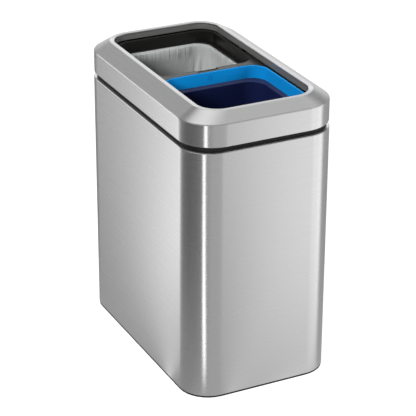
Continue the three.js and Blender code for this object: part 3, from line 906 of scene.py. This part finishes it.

# The reflector lies on the floor and only the gloss of the bin sees it: a ramp of greys
# round the near corner, dark beside the corner, with a narrow white strip. Close to the bin
# the ramp fades to a middle grey, a painted shade of the floor beside the bin, as the steel
# mirrors it.
NEAR_CORNER = Vector((sleeve_plan[1] - SLEEVE_CORNER, SLEEVE_CORNER / 2 - sleeve_plan[2], 0))
STUDIO_RAMP = [  # azimuth in degrees, and how bright the card is there
    (-180, 0.3), (-160, 0.3), (-156, 0.52), (-152.5, 1.5), (-148.5, 2.2), (-145, 1.75),
    (-141, 0.75), (-134, 0.26), (-120, 0.1), (-95, 0.03), (-68, 0.06), (-52, 0.17),
    (-28, 0.4), (-15, 0.58), (15, 0.6), (24, 0.64), (29, 0.82), (35, 1.4), (41, 1.6), (48, 1.4),
    (58, 1.4), (64, 1.6), (69, 1.95), (73, 1.6), (80, 0.55), (110, 0.42), (180, 0.3),
]
# the card's level close to the bin: a painted shade of the floor beside it, seen in the steel
SHADED_FLOOR_GREY = 0.58
CARD_RADIUS = 2.5
STRIP_GLOW = 2.8


def add_ramp(tree, vector):
    """The ramp of greys by azimuth round the origin of the vector. A ramp stops at 1, so
    its levels are halved here, and doubled again by the strength that they are used with."""
    turn = add_node(tree, "TexGradient", {"Vector": vector}, gradient_type="RADIAL")
    ramp = add_node(tree, "ValToRGB", {"Fac": turn.outputs[1]})
    stops = ramp.color_ramp.elements
    while len(stops) > 1:
        stops.remove(stops[-1])
    for i, (azimuth, level) in enumerate(STUDIO_RAMP):
        place = (azimuth + 180) / 360
        stop = stops[0] if i == 0 else stops.new(place)
        stop.position = place
        stop.color = (level / 2, level / 2, level / 2, 1)
    return ramp.outputs[0]


card_material = bpy.data.materials.new("grey_cards")
card_material.use_nodes = True
tree = card_material.node_tree
tree.nodes.clear()
place = add_node(tree, "TexCoord", {}).outputs["Object"]
about = add_node(tree, "VectorMath", {0: place, 1: NEAR_CORNER}, operation="SUBTRACT")
greys = add_ramp(tree, about.outputs[0])
# Near the corner the card fades to the middle grey: painted shade in the steel's reflection
reach = add_node(tree, "VectorMath", {0: about.outputs[0]}, operation="LENGTH")
far = add_node(
    tree, "MapRange", {0: reach.outputs["Value"], 1: 0.08, 2: 0.75, 3: 0.3},
    interpolation_type="SMOOTHSTEP",
)
shaded_floor_grey = (SHADED_FLOOR_GREY / 2, SHADED_FLOOR_GREY / 2, SHADED_FLOOR_GREY / 2, 1)
level = add_node(tree, "Mix", {0: far.outputs[0], 6: shaded_floor_grey, 7: greys}, data_type="RGBA")
glow = add_node(tree, "Emission", {"Color": level.outputs[2], "Strength": 2.0})
add_node(tree, "OutputMaterial", {"Surface": glow.outputs[0]})
bm = bmesh.new()
bmesh.ops.create_circle(
    bm, cap_ends=True, segments=96, radius=CARD_RADIUS, matrix=Matrix.Translation((0, 0, 0.3 * MM))
)
card = finished(bm, "grey_card", card_material)

strip_material = bpy.data.materials.new("white_strip")
strip_material.use_nodes = True
tree = strip_material.node_tree
tree.nodes.clear()
glow = add_node(tree, "Emission", {"Color": (1, 1, 1, 1), "Strength": STRIP_GLOW})
add_node(tree, "OutputMaterial", {"Surface": glow.outputs[0]})
STRIP = [(0.11, -29.5), (2.4, -47.5), (2.4, -38), (0.11, -18.5)]  # distance and azimuth
bm = bmesh.new()
bm.faces.new([
    bm.verts.new(NEAR_CORNER + Vector((
        distance * math.cos(math.radians(turn)), distance * math.sin(math.radians(turn)), 0.6 * MM
    )))
    for distance, turn in STRIP
])
strip = finished(bm, "white_strip", strip_material)
for reflector in (card, strip):
    reflector.visible_camera = False
    reflector.visible_diffuse = False
    reflector.visible_shadow = False
    reflector.visible_transmission = False

world = bpy.data.worlds.new("studio")
bpy.context.scene.world = world
world.use_nodes = True
tree = world.node_tree
tree.nodes.clear()
paths = add_node(tree, "LightPath", {})
direction = add_node(tree, "TexCoord", {}).outputs["Generated"]
greys = add_ramp(tree, direction)
parts = add_node(tree, "SeparateXYZ", {0: direction})
# The sky's greys and soft patches only reach glossy rays. They are painted reflections of soft
# lights and light nothing.
SKY_GREY = (0.17, 0.17, 0.17, 1)
MIRRORED_SOFT_LIGHTS = [  # azimuth, elevation and width in degrees, and level
    (85, 64, 34, 0.95),  # from the side
    (225, 76, 36, 1.6),  # overhead
    (153, 22, 26, 1.45),  # from behind
]


def soft_patch(azimuth, elevation, width, level, below):
    """A soft round patch of light over what lies below it: a painted reflection that only glossy
    rays see.
    """
    azimuth, elevation = math.radians(azimuth), math.radians(elevation)
    aim = (
        math.cos(azimuth) * math.cos(elevation),
        math.sin(azimuth) * math.cos(elevation),
        math.sin(elevation),
    )
    near = add_node(tree, "VectorMath", {0: direction, 1: aim}, operation="DOT_PRODUCT")
    patch = add_node(
        tree, "MapRange", {0: near.outputs["Value"], 1: math.cos(math.radians(width)), 2: 1},
        interpolation_type="SMOOTHSTEP",
    )
    half = level / 2
    return add_node(
        tree, "Mix", {0: patch.outputs[0], 6: below, 7: (half, half, half, 1)}, data_type="RGBA"
    ).outputs[2]


rise = add_node(
    tree, "MapRange", {0: parts.outputs[2], 1: 0.1, 2: 0.42}, interpolation_type="SMOOTHSTEP"
)
above = add_node(
    tree, "Mix", {0: rise.outputs[0], 6: greys, 7: SKY_GREY}, data_type="RGBA"
).outputs[2]
for mirrored_light in MIRRORED_SOFT_LIGHTS:
    above = soft_patch(*mirrored_light, above)
mirrored = add_node(tree, "Background", {"Color": above, "Strength": 2.0})
ambient = add_node(tree, "Background", {"Color": (1, 1, 1, 1), "Strength": 0.14})
white = add_node(tree, "Background", {"Color": (1, 1, 1, 1), "Strength": 1.0})
# Glossy rays see the painted reflections, and all other rays see the even ambient.
lit = add_node(
    tree, "MixShader",
    {0: paths.outputs["Is Glossy Ray"], 1: ambient.outputs[0], 2: mirrored.outputs[0]},
)
seen = add_node(
    tree, "Math",
    {0: paths.outputs["Is Camera Ray"], 1: paths.outputs["Is Transmission Ray"]},
    operation="MAXIMUM",
)
mixed = add_node(tree, "MixShader", {0: seen.outputs[0], 1: lit.outputs[0], 2: white.outputs[0]})
add_node(tree, "OutputWorld", {"Surface": mixed.outputs[0]})

LAMP_AIM = Vector((0, 0, 0.35))
LAMPS = {  # place, size in metres, power in watts
    "key_lamp": ((0.95, -1.85, 1.62), 0.6, 72),
    "top_lamp": ((0, 0, 2.6), 1.0, 32),
    "low_lamp": ((2.25, 0.85, 0.86), 0.4, 26),
}
for name, (place, size, power) in LAMPS.items():
    lamp = bpy.data.objects.new(name, bpy.data.lights.new(name, "AREA"))
    bpy.context.scene.collection.objects.link(lamp)
    lamp.data.shape = "DISK"
    lamp.data.size = size
    lamp.data.energy = power
    lamp.location = place
    lamp.rotation_euler = (LAMP_AIM - Vector(place)).to_track_quat("-Z", "Y").to_euler()
    lamp.visible_glossy = False

bpy.context.scene.view_settings.view_transform = "Standard"
